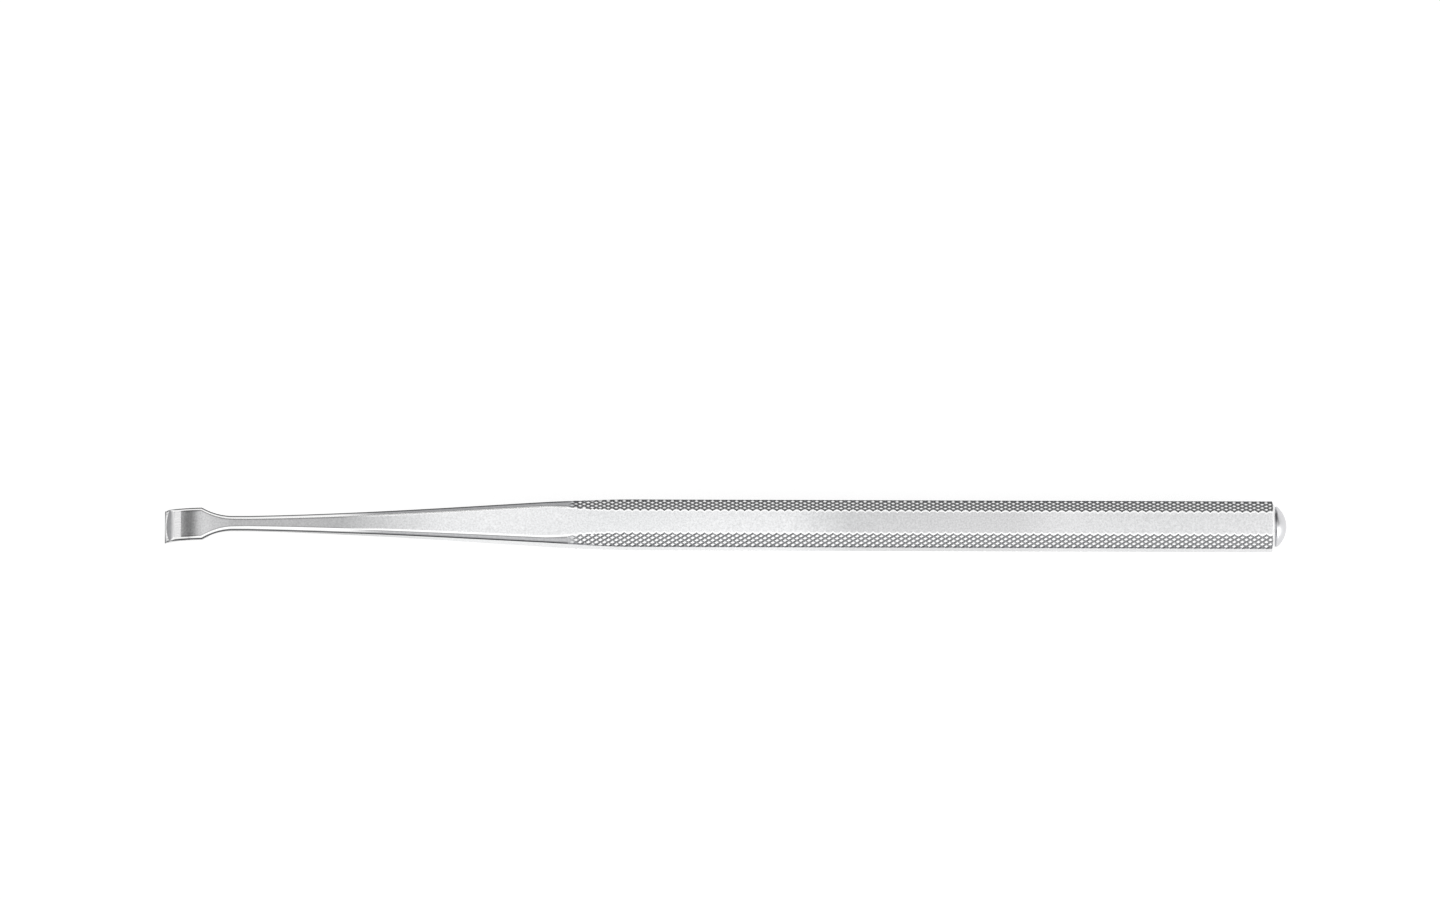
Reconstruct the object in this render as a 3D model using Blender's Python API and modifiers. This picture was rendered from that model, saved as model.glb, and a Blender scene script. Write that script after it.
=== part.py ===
"""Lacrimal chisel: a one-piece steel hand instrument.

A bar with four smooth flats and four knurled corner facets is ground down to a slim shank, then
widened into a thin blade that bends downwards and ends in a chisel bevel. The butt is turned to a
domed button.

The tool is drawn along +X in its own frame, u being the distance from the cutting edge along the
handle's axis, and then laid on its cutting edge and the butt end of its lower flat.
Lengths are in metres and angles in radians.
"""

import math

import bmesh
import bpy
import numpy as np
from mathutils import Matrix, Vector

MM = 0.001

# Whole tool
OVERALL_LENGTH = 140.0 * MM  # cutting edge to the crown of the butt

# Handle
HANDLE_ACROSS = 6.0 * MM  # across the smooth flats
KNURL_ACROSS = 6.38 * MM  # across the knurled corner facets
KNURL_START = 50.4 * MM
KNURL_PITCH = 1.0 * MM  # from one diamond to the next, along the handle
KNURL_ROWS = 6  # half diamonds across a facet
KNURL_DEPTH = 0.13 * MM
KNURL_RUN_IN = 1.5 * MM  # over which the grooves reach full depth

# Shank
NECK_END = 10.5 * MM
NECK_WIDTH = 1.82 * MM
NECK_HEIGHT = 1.6 * MM
TAPER_END = 58.5 * MM
TAPER_LEAVE = 19.2 * MM  # the taper's tangent handle at the neck, its length and what it reaches
TAPER_LEAVE_ACROSS = 2.5 * MM
TAPER_ARRIVE = 7.7 * MM  # the tangent handle where the taper runs into the handle
NECK_CHAMFER = 0.6 * MM  # face widths of the shank's corner chamfers
SHANK_CHAMFER = 0.95 * MM

# Blade
BLADE_WIDTH = 4.0 * MM
BLADE_THICKNESS = 0.97 * MM
BLADE_PARALLEL = 4.75 * MM  # length of the blade's straight sides
BLADE_CHAMFER = 0.5 * MM  # face width along the two edges of the back
FACE_BREAK = 0.06 * MM  # leg of the small edge break along the concave face
NECK_FILLET = 7.5 * MM  # radius in plan, from the blade into the neck
NECK_CROWN = 36.0 * MM  # radius in side view, from the neck into the blade
BEND_RADIUS = 7.3 * MM  # of the concave face
BEND_ANGLE = math.radians(55.3)  # from the handle's axis to the concave face at the edge

# Ground faces at the tip, each by the turn of the bend where it leaves the back
RELIEF_START = math.radians(28.3)
BEVEL_START = math.radians(34.8)
BEVEL_HOLLOW = 16.0 * MM  # radius across the bevel, which is slightly dished
HONE_ANGLE = math.radians(69.0)  # honed face against the handle's axis
HONE_LENGTH = 0.6 * MM  # at the middle of the blade

# Butt
BUTTON_ACROSS = 5.1 * MM
BUTTON_HEIGHT = 1.2 * MM
BUTT_GROOVE = 0.12 * MM  # depth of the groove under the button, and half its width
BUTT_CONE = math.radians(62.0)  # the turned cone against the axis
RIM_RADIUS = 0.12 * MM  # rounding of the button's rim
RIM_BACK = math.radians(135.0)  # how far round the rim goes, from the crown's side

# How finely curves are stepped
BEND_STEPS = 18
FILLET_STEPS = 12
TAPER_STEPS = 18
TURNED_STEPS = 48
DOME_STEPS = 6
RIM_STEPS = 3
HOLLOW_STEPS = 12
CURVE_STEPS = 60  # points along the taper's curve, between which it is read
SHARP_ANGLE = math.radians(12.0)  # edges above this are shaded sharp

STEEL = (0.78, 0.78, 0.79, 1.0)

CENTRE_RADIUS = BEND_RADIUS + BLADE_THICKNESS / 2
BACK_RADIUS = BEND_RADIUS + BLADE_THICKNESS
BEND_START = BEND_RADIUS * math.sin(BEND_ANGLE)
BEND_CENTRE = np.array([BEND_START, -CENTRE_RADIUS])
EDGE = BEND_CENTRE + BEND_RADIUS * np.array([-math.sin(BEND_ANGLE), math.cos(BEND_ANGLE)])


def on_back(turn):
    """The (u, z) point of the blade's back where the bend has turned by this angle."""
    return BEND_CENTRE + BACK_RADIUS * np.array([-math.sin(turn), math.cos(turn)])


def bezier(start, leave, arrive, end):
    """Points of a cubic Bezier curve."""
    t = np.linspace(0.0, 1.0, CURVE_STEPS)[:, None]
    points = [np.array(p) for p in (start, leave, arrive, end)]
    weights = ((1 - t) ** 3, 3 * (1 - t) ** 2 * t, 3 * (1 - t) * t**2, t**3)
    return sum(weight * point for weight, point in zip(weights, points))


def taper(u, neck):
    """The shank's size across its flats, which grows from the neck's to the handle's."""
    curve = bezier(
        (NECK_END, neck),
        (NECK_END + TAPER_LEAVE, TAPER_LEAVE_ACROSS),
        (TAPER_END - TAPER_ARRIVE, HANDLE_ACROSS),
        (TAPER_END, HANDLE_ACROSS),
    )
    return float(np.interp(u, curve[:, 0], curve[:, 1]))


def half_width(u):
    """Half the width in plan: the blade, then the fillet arc, then the taper."""
    drop = (BLADE_WIDTH - NECK_WIDTH) / 2
    reach = math.sqrt(max(NECK_FILLET**2 - (NECK_FILLET - drop) ** 2, 0.0))
    fillet_end = BLADE_PARALLEL + reach
    if u <= BLADE_PARALLEL:
        return BLADE_WIDTH / 2
    if u >= fillet_end:
        return taper(u, NECK_WIDTH) / 2
    rise = NECK_FILLET - math.sqrt(NECK_FILLET**2 - (fillet_end - u) ** 2)
    return NECK_WIDTH / 2 + rise


def half_height(u):
    """Half the height in side view: the blade, then the crowned neck, then the taper."""
    drop = max(NECK_END - u, 0.0) ** 2 / (2 * NECK_CROWN)
    return max(BLADE_THICKNESS / 2, taper(u, NECK_HEIGHT) / 2 - drop)


def chamfer_legs(u):
    """Legs of the upper and lower corner chamfers. On the handle they are the knurled facets."""
    face = np.interp(
        u,
        (BLADE_PARALLEL, NECK_END, KNURL_START),
        (BLADE_CHAMFER, NECK_CHAMFER, SHANK_CHAMFER),
    )
    across = taper(u, NECK_HEIGHT)
    leg = max(float(face) / math.sqrt(2), across - KNURL_ACROSS / math.sqrt(2))
    step = np.interp(u, (BEND_START - BLADE_THICKNESS / 2, BEND_START), (0.0, 1.0))
    return leg, FACE_BREAK + (leg - FACE_BREAK) * float(step)


def corners(u):
    """The eight (y, n) corners of the section at u, from the upper right one clockwise."""
    b, a = half_width(u), half_height(u)
    upper, lower = chamfer_legs(u)
    right = [(b - upper, a), (b, a - upper), (b, lower - a), (b - lower, -a)]
    return right + [(-y, n) for y, n in reversed(right)]


def placed(section, centre, normal):
    """A section's (y, n) points in space, n running along the centre line's normal."""
    return [Vector((centre[0] + n * normal[0], y, centre[1] + n * normal[1])) for y, n in section]


def bend_rings():
    """Sections round the bend, from a little past the cutting edge up to the neck."""
    past_edge = BEND_ANGLE + BLADE_THICKNESS / BEND_RADIUS
    rings = []
    for turn in np.linspace(past_edge, 0.0, BEND_STEPS, endpoint=False):
        normal = np.array([-math.sin(turn), math.cos(turn)])
        centre = BEND_CENTRE + CENTRE_RADIUS * normal
        rings.append(placed(corners(centre[0]), centre, normal))
    return rings


def shank_rings():
    """Sections of the straight shank, up to the start of the knurl."""
    stations = np.concatenate(
        [
            np.linspace(BEND_START, NECK_END, FILLET_STEPS, endpoint=False),
            np.linspace(NECK_END, KNURL_START, TAPER_STEPS, endpoint=False),
        ]
    )
    return [placed(corners(u), (u, 0.0), (0.0, 1.0)) for u in stations]


def knurled_section(u, station):
    """The section at u with each corner facet divided into rows of crests and grooves.

    Crests and grooves take turns along and across the facet. A crest lies on the facet. A groove
    on the border of a smooth flat stays in that flat, so it moves along it.
    """
    depth = KNURL_DEPTH * min((u - KNURL_START) / KNURL_RUN_IN, 1.0)
    if u > OVERALL_LENGTH:
        depth = 0.0
    eight = [Vector(point) for point in corners(u)]
    section = []
    for start, end in zip(eight[0::2], eight[1::2]):
        along = (end - start).normalized()
        inwards = Vector((along.y, -along.x))
        for row in range(KNURL_ROWS + 1):
            point = start.lerp(end, row / KNURL_ROWS)
            if (station + row) % 2 == 0:
                shift = inwards * depth
                if row == 0:
                    shift -= along * depth
                elif row == KNURL_ROWS:
                    shift += along * depth
                point += shift
            section.append(point)
    return section


def knurl_stations():
    """Stations half a pitch apart, and a last plain one in the waste past the butt."""
    count = math.ceil((OVERALL_LENGTH - BUTTON_HEIGHT - KNURL_START) / (KNURL_PITCH / 2)) + 1
    stations = [KNURL_START + i * KNURL_PITCH / 2 for i in range(count)]
    return [*stations, OVERALL_LENGTH + BUTTON_HEIGHT]


def add_ring(bm, points):
    return [bm.verts.new(point) for point in points]


def join_plain(bm, first, second):
    """Four-sided faces between two rings of like sections."""
    for i in range(len(first)):
        j = (i + 1) % len(first)
        bm.faces.new((first[i], first[j], second[j], second[i]))


def join_to_knurl(bm, plain, knurled):
    """Faces between the last plain section and the first one that is divided into rows."""
    rows = KNURL_ROWS + 1
    for facet in range(4):
        here = knurled[facet * rows : (facet + 1) * rows]
        bm.faces.new([plain[2 * facet], plain[2 * facet + 1], *reversed(here)])
        following = (facet + 1) % 4
        bm.faces.new(
            (plain[2 * facet + 1], plain[2 * following], knurled[following * rows], here[-1])
        )


def join_knurl(bm, first, second, station):
    """Faces between two knurled sections, each cell split along its groove."""
    rows = KNURL_ROWS + 1
    for facet in range(4):
        for row in range(KNURL_ROWS):
            i = facet * rows + row
            a, b, c, d = first[i], first[i + 1], second[i + 1], second[i]
            if (station + row) % 2 == 0:
                bm.faces.new((a, b, c))
                bm.faces.new((a, c, d))
            else:
                bm.faces.new((a, b, d))
                bm.faces.new((b, c, d))
        i = facet * rows + KNURL_ROWS
        j = (facet + 1) % 4 * rows
        bm.faces.new((first[i], first[j], second[j], second[i]))


def tool_mesh():
    """The whole tool before its tip is ground and its butt turned, as one loft of sections."""
    bm = bmesh.new()
    plain = [add_ring(bm, ring) for ring in bend_rings() + shank_rings()]
    bm.faces.new(reversed(plain[0]))
    for first, second in zip(plain, plain[1:]):
        join_plain(bm, first, second)

    knurled = []
    for station, u in enumerate(knurl_stations()):
        section = knurled_section(u, station)
        knurled.append(add_ring(bm, placed(section, (u, 0.0), (0.0, 1.0))))
    join_to_knurl(bm, plain[-1], knurled[0])
    for station, (first, second) in enumerate(zip(knurled, knurled[1:])):
        join_knurl(bm, first, second, station)
    bm.faces.new(knurled[-1])
    bmesh.ops.recalc_face_normals(bm, faces=bm.faces)
    mesh = bpy.data.meshes.new("chisel")
    bm.to_mesh(mesh)
    bm.free()
    return mesh


def prism_mesh(name, ring, sweep):
    """A closed solid: a flat ring of points carried along by sweep."""
    bm = bmesh.new()
    face = bm.faces.new([bm.verts.new(point) for point in ring])
    moved = bmesh.ops.extrude_face_region(bm, geom=[face])
    fresh = [v for v in moved["geom"] if isinstance(v, bmesh.types.BMVert)]
    bmesh.ops.translate(bm, vec=sweep, verts=fresh)
    bmesh.ops.recalc_face_normals(bm, faces=bm.faces)
    mesh = bpy.data.meshes.new(name)
    bm.to_mesh(mesh)
    bm.free()
    return mesh


def face_directions(low, high):
    """Directions in side view along a ground face, from low to high, and out of it."""
    along = (np.array(high) - low) / np.linalg.norm(np.array(high) - low)
    return along, np.array([-along[1], along[0]])


def grinding_block(name, low, high):
    """A block whose lower face runs through two (u, z) points, and which clears all above it."""
    along, outwards = face_directions(low, high)
    spare = BLADE_WIDTH
    start, end = low - along * spare, high + along * spare
    outline = [start, end, end + outwards * spare, start + outwards * spare]
    ring = [(u, -BLADE_WIDTH, z) for u, z in outline]
    return prism_mesh(name, ring, (0.0, 2 * BLADE_WIDTH, 0.0))


def bevel_wheel(name, low, high):
    """The bevel's cutter: a bar along the bevel with a round underside, lowest at the middle."""
    along, outwards = face_directions(low, high)
    spare = BLADE_WIDTH
    half = math.asin(min(BLADE_WIDTH / BEVEL_HOLLOW, 1.0))
    profile = []
    for turn in np.linspace(-half, half, HOLLOW_STEPS + 1):
        profile.append((BEVEL_HOLLOW * math.sin(turn), BEVEL_HOLLOW * (1 - math.cos(turn))))
    profile += [(BLADE_WIDTH, spare), (-BLADE_WIDTH, spare)]
    start = low - along * spare
    ring = [(start[0] + out * outwards[0], y, start[1] + out * outwards[1]) for y, out in profile]
    length = np.linalg.norm(high - low) + 2 * spare
    return prism_mesh(name, ring, (along[0] * length, 0.0, along[1] * length))


def butt_profile():
    """The turned end as (u, radius) points: cone, groove, the button's rim, and the dome."""
    button = BUTTON_ACROSS / 2
    foot = OVERALL_LENGTH - BUTTON_HEIGHT - 2 * BUTT_GROOVE
    clear = 0.75 * HANDLE_ACROSS  # a radius outside the bar's corners
    cone = [(foot - (clear - button) / math.tan(BUTT_CONE), clear), (foot, button)]

    crown = (button**2 + BUTTON_HEIGHT**2) / (2 * BUTTON_HEIGHT)
    centre = OVERALL_LENGTH - crown
    tangent = math.asin(min((button - RIM_RADIUS) / (crown - RIM_RADIUS), 1.0))
    rim_centre = centre + (crown - RIM_RADIUS) * math.cos(tangent)
    root = (rim_centre - RIM_RADIUS, button - BUTT_GROOVE)
    rim = [
        (
            rim_centre + RIM_RADIUS * math.cos(turn),
            button - RIM_RADIUS + RIM_RADIUS * math.sin(turn),
        )
        for turn in np.linspace(RIM_BACK, tangent, RIM_STEPS + 1)
    ]
    dome = [
        (centre + crown * math.cos(turn), crown * math.sin(turn))
        for turn in np.linspace(tangent, 0.0, DOME_STEPS + 1)
    ]
    return [*cone, root, *rim, *dome[1:]]


def turning_mesh(name):
    """Profile of the waste round the butt, for a Screw: all that lies outside the turned end."""
    profile = butt_profile()
    past_end = OVERALL_LENGTH + 2 * BUTTON_HEIGHT
    outline = [*profile, (past_end, 0.0), (past_end, profile[0][1])]
    mesh = bpy.data.meshes.new(name)
    count = len(outline)
    on_axis = (len(profile) - 1, len(profile))
    edges = [(i, (i + 1) % count) for i in range(count) if (i, i + 1) != on_axis]
    mesh.from_pydata([(u, 0.0, radius) for u, radius in outline], edges, [])
    return mesh


def flat_end():
    """Where the lower flat ends: the turned cone at the flat's distance from the axis."""
    (u1, r1), (u2, r2) = butt_profile()[:2]
    return float(np.interp(HANDLE_ACROSS / 2, (r2, r1), (u2, u1)))


def rest_matrix():
    """Lays the tool on its cutting edge and the butt end of its lower flat, centred at the origin."""
    edge = Vector((EDGE[0], 0.0, EDGE[1]))
    heel = Vector((flat_end(), 0.0, -HANDLE_ACROSS / 2))
    crown = Vector((OVERALL_LENGTH, 0.0, 0.0))
    tilt = math.atan2(heel.z - edge.z, heel.x - edge.x)
    turn = Matrix.Rotation(tilt, 4, "Y")
    middle = ((turn @ edge).x + (turn @ crown).x) / 2
    return Matrix.Translation((-middle, 0.0, -(turn @ edge).z)) @ turn


def steel():
    """Satin stainless steel."""
    material = bpy.data.materials.new("satin_steel")
    material.use_nodes = True
    shader = material.node_tree.nodes["Principled BSDF"]
    shader.inputs["Base Color"].default_value = STEEL
    shader.inputs["Metallic"].default_value = 1.0
    shader.inputs["Roughness"].default_value = 0.35
    return material


def add_object(mesh, collection, parent):
    piece = bpy.data.objects.new(mesh.name, mesh)
    collection.objects.link(piece)
    piece.parent = parent
    return piece


def add_cutter(mesh, collection, parent, tool):
    """A hidden cutter, taken away from the tool by a Boolean."""
    cutter = add_object(mesh, collection, parent)
    cutter.hide_render = True
    cutter.display_type = "WIRE"
    cut = tool.modifiers.new(cutter.name, "BOOLEAN")
    cut.operation = "DIFFERENCE"
    cut.solver = "EXACT"
    cut.object = cutter
    return cutter


def new_collection(name):
    collection = bpy.data.collections.new(name)
    bpy.context.scene.collection.children.link(collection)
    return collection


for existing in list(bpy.data.objects):
    bpy.data.objects.remove(existing, do_unlink=True)

parts = new_collection("lacrimal_chisel")
cutters = new_collection("cutters")

lie = bpy.data.objects.new("lie", None)
lie.matrix_world = rest_matrix()
parts.objects.link(lie)

chisel = add_object(tool_mesh(), parts, lie)
chisel.data.materials.append(steel())

hone_top = EDGE + HONE_LENGTH * np.array([math.cos(HONE_ANGLE), math.sin(HONE_ANGLE)])
relief_block = grinding_block("relief_cut", on_back(BEVEL_START), on_back(RELIEF_START))
wheel = bevel_wheel("bevel_cut", hone_top, on_back(BEVEL_START))
hone_block = grinding_block("hone_cut", EDGE, hone_top)
for ground in (relief_block, wheel, hone_block):
    add_cutter(ground, cutters, lie, chisel)

butt_cutter = add_cutter(turning_mesh("butt_cut"), cutters, lie, chisel)
spin = butt_cutter.modifiers.new("turn", "SCREW")
spin.axis = "X"
spin.steps = TURNED_STEPS
spin.render_steps = TURNED_STEPS
spin.use_merge_vertices = True
spin.merge_threshold = 0.001 * MM

chisel.data.shade_smooth()
chisel.data.set_sharp_from_angle(angle=SHARP_ANGLE)
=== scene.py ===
"""Looks of a lacrimal chisel: one bar of stainless steel, ground, knurled and turned.

Lengths are in metres and angles in radians. The tool is worked out along its own axis, u running
from the cutting edge to the butt, y across and n upwards from the axis, and then laid down.
"""

import math

import bpy
import numpy as np
from mathutils import Matrix, Vector


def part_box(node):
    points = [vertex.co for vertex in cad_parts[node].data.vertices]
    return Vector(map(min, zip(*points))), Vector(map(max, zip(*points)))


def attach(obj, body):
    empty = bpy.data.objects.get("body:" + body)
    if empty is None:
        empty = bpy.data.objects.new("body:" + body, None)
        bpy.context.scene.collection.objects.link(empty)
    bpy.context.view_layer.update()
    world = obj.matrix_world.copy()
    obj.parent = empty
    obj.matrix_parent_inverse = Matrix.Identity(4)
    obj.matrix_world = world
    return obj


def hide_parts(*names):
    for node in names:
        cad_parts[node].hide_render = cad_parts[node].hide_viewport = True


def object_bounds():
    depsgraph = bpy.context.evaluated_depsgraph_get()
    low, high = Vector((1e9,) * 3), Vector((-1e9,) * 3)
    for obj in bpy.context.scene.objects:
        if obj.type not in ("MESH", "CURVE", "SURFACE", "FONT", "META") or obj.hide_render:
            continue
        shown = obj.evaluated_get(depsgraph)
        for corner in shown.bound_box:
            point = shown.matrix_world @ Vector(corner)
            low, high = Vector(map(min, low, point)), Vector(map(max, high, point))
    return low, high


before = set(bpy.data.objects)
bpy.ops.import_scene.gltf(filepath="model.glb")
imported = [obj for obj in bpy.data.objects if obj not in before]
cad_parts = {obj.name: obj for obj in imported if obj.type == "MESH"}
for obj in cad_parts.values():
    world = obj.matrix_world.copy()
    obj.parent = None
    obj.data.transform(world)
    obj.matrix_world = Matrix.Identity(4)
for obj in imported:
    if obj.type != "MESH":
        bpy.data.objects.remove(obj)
cad_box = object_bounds()

# The bar: stainless steel with an eight-sided section, four smooth flats and four corner facets.
# The handle keeps the full section, and the shank is ground down to a slim neck with chamfers.
MM = 0.001
OVERALL_LENGTH = 140.0 * MM
HANDLE_ACROSS = 6.0 * MM  # across the smooth flats
KNURL_ACROSS = 6.38 * MM  # across the corner facets
KNURL_START = 50.4 * MM
NECK_END = 10.5 * MM
NECK_WIDTH = 1.82 * MM
NECK_HEIGHT = 1.6 * MM
TAPER_END = 58.5 * MM
TAPER_LEAVE = 19.2 * MM  # the taper's tangent handle at the neck, its length and what it reaches
TAPER_LEAVE_ACROSS = 2.5 * MM
TAPER_ARRIVE = 7.7 * MM  # the tangent handle where the taper runs into the handle
NECK_CHAMFER = 0.6 * MM  # face widths of the shank's corner chamfers
SHANK_CHAMFER = 0.95 * MM
TAPER_POINTS = 200  # along the taper's curve, between which it is read
EDGE_SOFTNESS = 0.1 * MM  # each of the two steps in from a border that handling has softened
SOFT_SHARE = 1 / 6  # the most of a flat's width that one such step takes
EDGE_DROP = 0.015 * MM  # how far a border sinks under its flat
INNER_DROP = EDGE_DROP / 5  # and how far the flat's next node does

BLADE_WIDTH = 4.0 * MM
BLADE_THICKNESS = 0.97 * MM
BLADE_PARALLEL = 4.75 * MM
BLADE_CHAMFER = 0.5 * MM
FACE_BREAK = 0.06 * MM
NECK_FILLET = 7.5 * MM  # radius in plan, from the blade into the neck
NECK_CROWN = 36.0 * MM  # radius in side view, from the neck into the blade
BEND_RADIUS = 7.3 * MM  # of the concave face
BEND_ANGLE = math.radians(55.3)

BEND_START = BEND_RADIUS * math.sin(BEND_ANGLE)


def taper(u, neck):
    """Size across the flats: a cubic Bezier curve from the neck's size to the handle's."""
    t = np.linspace(0.0, 1.0, TAPER_POINTS)
    weights = np.array([(1 - t) ** 3, 3 * (1 - t) ** 2 * t, 3 * (1 - t) * t**2, t**3])
    along = weights.T @ [NECK_END, NECK_END + TAPER_LEAVE, TAPER_END - TAPER_ARRIVE, TAPER_END]
    across = weights.T @ [neck, TAPER_LEAVE_ACROSS, HANDLE_ACROSS, HANDLE_ACROSS]
    return np.interp(u, along, across)


def half_width(u):
    """Half the width in plan: constant along the blade, a fillet arc, then half the taper."""
    drop = (BLADE_WIDTH - NECK_WIDTH) / 2
    fillet_end = BLADE_PARALLEL + math.sqrt(NECK_FILLET**2 - (NECK_FILLET - drop) ** 2)
    run = np.clip(fillet_end - u, 0.0, fillet_end - BLADE_PARALLEL)
    rise = NECK_FILLET - np.sqrt(NECK_FILLET**2 - run**2)
    return np.where(u < fillet_end, NECK_WIDTH / 2 + rise, taper(u, NECK_WIDTH) / 2)


def half_height(u):
    """Half the height in side view: half the taper less a parabola, but never under the blade's."""
    drop = np.maximum(NECK_END - u, 0.0) ** 2 / (2 * NECK_CROWN)
    return np.maximum(BLADE_THICKNESS / 2, taper(u, NECK_HEIGHT) / 2 - drop)


def chamfer_legs(u):
    """Legs of the upper and lower corner chamfers, which widen until they are the handle's facets.

    The lower ones shrink to the small edge break along the blade's concave face.
    """
    face = np.interp(
        u,
        (BLADE_PARALLEL, NECK_END, KNURL_START),
        (BLADE_CHAMFER, NECK_CHAMFER, SHANK_CHAMFER),
    )
    facet_leg = taper(u, NECK_HEIGHT) - KNURL_ACROSS / math.sqrt(2)
    leg = np.maximum(face / math.sqrt(2), facet_leg)
    step = np.interp(u, (BEND_START - BLADE_THICKNESS / 2, BEND_START), (0.0, 1.0))
    return leg, FACE_BREAK + (leg - FACE_BREAK) * step


def corners(u):
    """The eight (y, n) corners of the section at each u, from the upper right one clockwise."""
    b, a = half_width(u), half_height(u)
    upper, lower = chamfer_legs(u)
    right = [(b - upper, a), (b, a - upper), (b, lower - a), (b - lower, -a)]
    points = right + [(-y, n) for y, n in reversed(right)]
    return np.stack([np.stack(point, axis=-1) for point in points], axis=-2)


def section(eight, facet_cells, flat_cells, across=None, sink=None):
    """Sections (rings, nodes, 2) from their eight corners, nodes evenly spaced on facets and flats.

    across gives other places on the facets, as shares of their widths (rings, 4, facet nodes).
    sink lowers the facets' nodes square to the facet. On a flat's border it becomes a shift along
    that flat, so that a groove cuts into the flat's edge. Each border is then moved down along its
    facet a little, and the flat's next node dropped by a fifth of that, which softens the edge.
    """
    on_facets = (len(eight), 4, facet_cells + 1)
    if across is None:
        across = np.broadcast_to(np.linspace(0.0, 1.0, facet_cells + 1), on_facets)
    if sink is None:
        sink = np.zeros(on_facets)
    flat_inwards = np.array([(-1.0, 0.0), (0.0, 1.0), (1.0, 0.0), (0.0, -1.0)])
    facets, lowered = [], []
    for k in range(4):
        start, end = eight[:, 2 * k, None], eight[:, 2 * k + 1, None]
        along = (end - start) / np.linalg.norm(end - start, axis=-1, keepdims=True)
        inwards = np.stack([along[..., 1], -along[..., 0]], axis=-1)
        depth = sink[:, k, :, None]
        nodes = start + across[:, k, :, None] * (end - start) + inwards * depth
        nodes[:, :1] -= along * depth[:, :1]
        nodes[:, -1:] += along * depth[:, -1:]
        facets.append(nodes)
        soft_nodes = nodes.copy()
        soft_nodes[:, :1] += along * EDGE_DROP * math.sqrt(2)
        soft_nodes[:, -1:] -= along * EDGE_DROP * math.sqrt(2)
        lowered.append(soft_nodes)
    columns = []
    for k in range(4):
        border, far_border = facets[k][:, -1:], facets[(k + 1) % 4][:, :1]
        reach = far_border - border
        width = np.linalg.norm(reach, axis=-1, keepdims=True)
        soft = np.minimum(EDGE_SOFTNESS / width, SOFT_SHARE)
        drop = flat_inwards[k] * INNER_DROP
        middle = np.linspace(0.0, 1.0, flat_cells - 3)[None, :, None]
        inner = border + reach * (2 * soft + middle * (1 - 4 * soft))
        near = border + reach * soft + drop
        far = far_border - reach * soft + drop
        columns += [lowered[k], near, inner, far]
    return np.concatenate(columns, axis=1)


# The blade: the bar's end forged thin and bent down, its back ground at the tip in three faces.
# A narrow relief facet leads into a slightly dished bevel, and a flat stone hones the edge.
RELIEF_START = math.radians(28.3)
BEVEL_START = math.radians(34.8)
BEVEL_HOLLOW = 16.0 * MM
HONE_ANGLE = math.radians(69.0)
HONE_LENGTH = 0.6 * MM
EDGE_LAND = 0.012 * MM  # what the stone leaves of the edge's thickness
BREAK_FADE = 1.0 * MM  # over which the small edge break dies out towards the cutting edge
LEAST_BREAK = 0.05  # share of it that is left there
LEAST_FACING = 0.1  # cosine under which a ground face is taken as turned away
NO_LIMIT = 1.0  # a radius, in metres, that the blade never comes near
SIDE_SLACK = 1.01 * EDGE_DROP  # the nodes of the blade's sides lie this near the outline
FRONT_FACET_CELLS = 6
FRONT_FLAT_CELLS = 20
HONE_RINGS, BEVEL_RINGS, ARC_RINGS, RELIEF_RINGS, BEND_RINGS = 6, 10, 4, 4, 24
NECK_RINGS, SHANK_RINGS = 26, 44
JOINT_GAP = 0.05 * MM  # from the shank's last section to the knurl's first

CENTRE_RADIUS = BEND_RADIUS + BLADE_THICKNESS / 2
BACK_RADIUS = BEND_RADIUS + BLADE_THICKNESS
BEND_CENTRE = np.array([BEND_START, -CENTRE_RADIUS])
EDGE = BEND_CENTRE + BEND_RADIUS * np.array([-math.sin(BEND_ANGLE), math.cos(BEND_ANGLE)])


def line_through(low, high):
    """A ground face in side view as its normal's turn and its distance from the bend's centre.

    The face's radius at a turn is that distance over the cosine of the two turns' difference.
    """
    along = (high - low) / np.linalg.norm(high - low)
    outwards = np.array([-along[1], along[0]])
    return math.atan2(-outwards[0], outwards[1]), float((low - BEND_CENTRE) @ outwards)


def on_back(turn):
    """The (u, n) point of the blade's back where the bend has turned by this angle."""
    return BEND_CENTRE + BACK_RADIUS * np.array([-math.sin(turn), math.cos(turn)])


def turn_at(face, radius, out=0.0):
    """The turn, short of its normal's, at which a ground face moved outwards comes to a radius."""
    normal, distance = face
    return normal - np.arccos(np.clip((distance + out) / radius, -1.0, 1.0))


hone_top = EDGE + HONE_LENGTH * np.array([math.cos(HONE_ANGLE), math.sin(HONE_ANGLE)])
hone = line_through(EDGE, hone_top)
bevel = line_through(hone_top, on_back(BEVEL_START))
relief = line_through(on_back(BEVEL_START), on_back(RELIEF_START))


def dish(y):
    """How far the dished bevel stands out at y from its middle: the rise of the wheel's arc."""
    return BEVEL_HOLLOW - np.sqrt(BEVEL_HOLLOW**2 - y**2)


def back_height(y):
    """The blade's uncut upper side over its centre line: flat, then falling 45 degrees."""
    leg = BLADE_CHAMFER / math.sqrt(2)
    return BLADE_THICKNESS / 2 - np.maximum(np.abs(y) - (BLADE_WIDTH / 2 - leg), 0.0)


def ground_limit(turn, y):
    """Radius of the lowest ground face at this turn and y. Faces turned away don't count."""
    limits = []
    for (normal, distance), out in ((hone, 0.0), (bevel, dish(y)), (relief, 0.0)):
        facing = np.cos(turn - normal)
        radius = (distance + out) / np.maximum(facing, LEAST_FACING)
        limits.append(np.where(facing > LEAST_FACING, radius, NO_LIMIT))
    return np.minimum.reduce(limits)


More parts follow.
